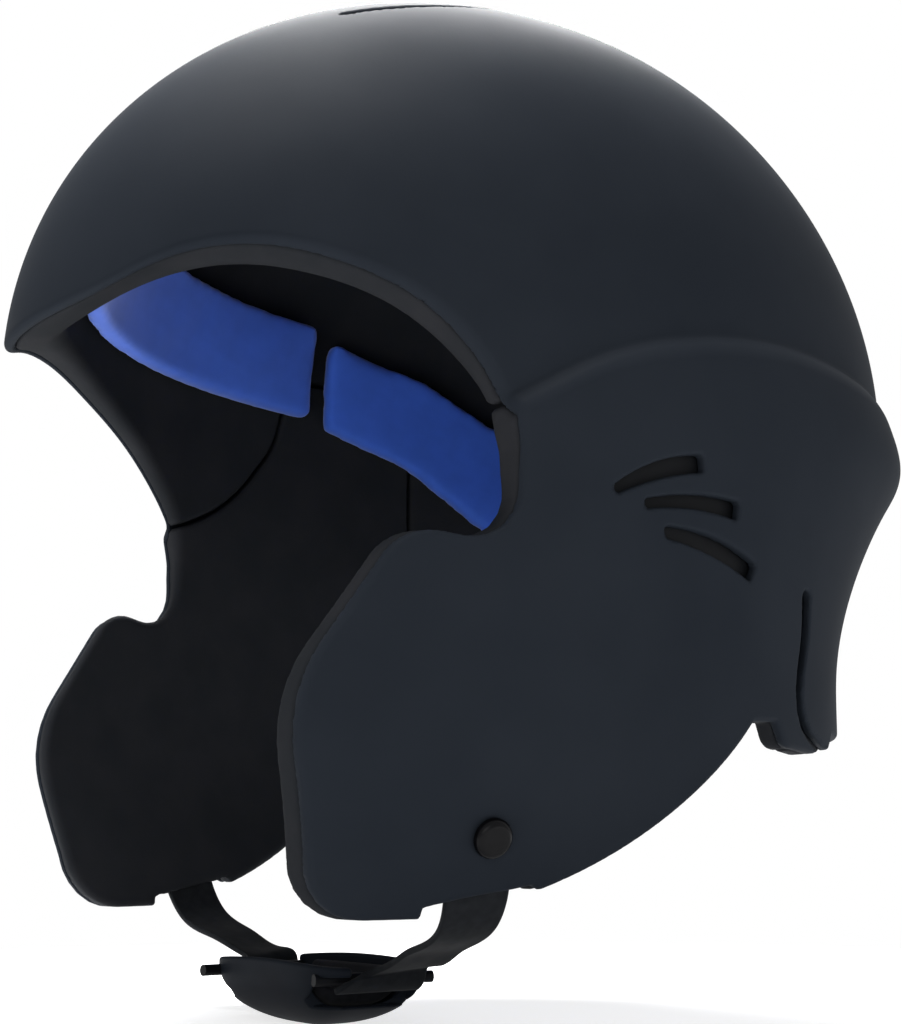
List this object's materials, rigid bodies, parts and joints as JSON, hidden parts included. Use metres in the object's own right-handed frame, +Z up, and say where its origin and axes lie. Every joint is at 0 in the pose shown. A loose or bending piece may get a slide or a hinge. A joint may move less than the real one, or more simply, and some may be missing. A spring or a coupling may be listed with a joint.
{
  "type": "water sports helmet",
  "caption": "Full-coverage water helmet with a domed shell, ear guards with vents, a padded liner, and a chin strap with a chin cup that swings on side rivets.",
  "frame": {"origin": "mid-plane of the head, under the widest part of the dome, at ear-hole level of the wearer's head", "axes": "+Z up towards the crown, -Y to the wearer's front, +X to the wearer's left"},
  "size_m": [0.2134, 0.2894, 0.2961],
  "materials": {
    "shell": "satin moulded",
    "vent": "matte moulded",
    "liner": "matte foam skin",
    "pad": "stretch knit over foam",
    "hook": "hook tape",
    "rivet": "gloss",
    "steel": "satin",
    "webbing": "woven",
    "cup": "matte moulded",
    "lining": "soft knit",
    "bar": "matte black"
  },
  "bodies": {
    "helmet": {"outer_shell": "shell", "ear_vent_baffle_left": "vent", "ear_vent_baffle_right": "vent", "crown_vent_baffle_left": "vent", "crown_vent_baffle_right": "vent", "crown_liner": "liner", "ear_liner_left": "liner", "ear_liner_right": "liner", "nape_liner": "liner", "front_pad_left": "pad", "front_pad_right": "pad", "rear_pad_left": "pad", "rear_pad_right": "pad", "crown_pad": "pad", "pad_hook_tabs": "hook", "rivet_cap_left": "rivet", "rivet_cap_right": "rivet", "rivet_washer_left": "steel", "rivet_washer_right": "steel"},
    "chin_strap": {"strap_eyelet_left": "steel", "strap_eyelet_right": "steel", "strap_left": "webbing", "strap_right": "webbing", "chin_cup": "cup", "chin_cup_lining": "lining"},
    "clamp_bar_left": {"clamp_bar_left": "bar"},
    "clamp_bar_right": {"clamp_bar_right": "bar"}
  },
  "joints": [
    {"name": "chin_strap_swing", "type": "hinge", "parent": "helmet", "child": "chin_strap", "pos_m": [0, -0.05917, -0.0963], "axis": [1, 0, 0], "range_deg": [-8, 8]},
    {"name": "clamp_bar_left_slide", "type": "slide", "parent": "chin_strap", "child": "clamp_bar_left", "axis": [0, 0, 1], "range_m": [0, 0.0008]},
    {"name": "clamp_bar_right_slide", "type": "slide", "parent": "chin_strap", "child": "clamp_bar_right", "axis": [0, 0, 1], "range_m": [0, 0.0008]}
  ]
}
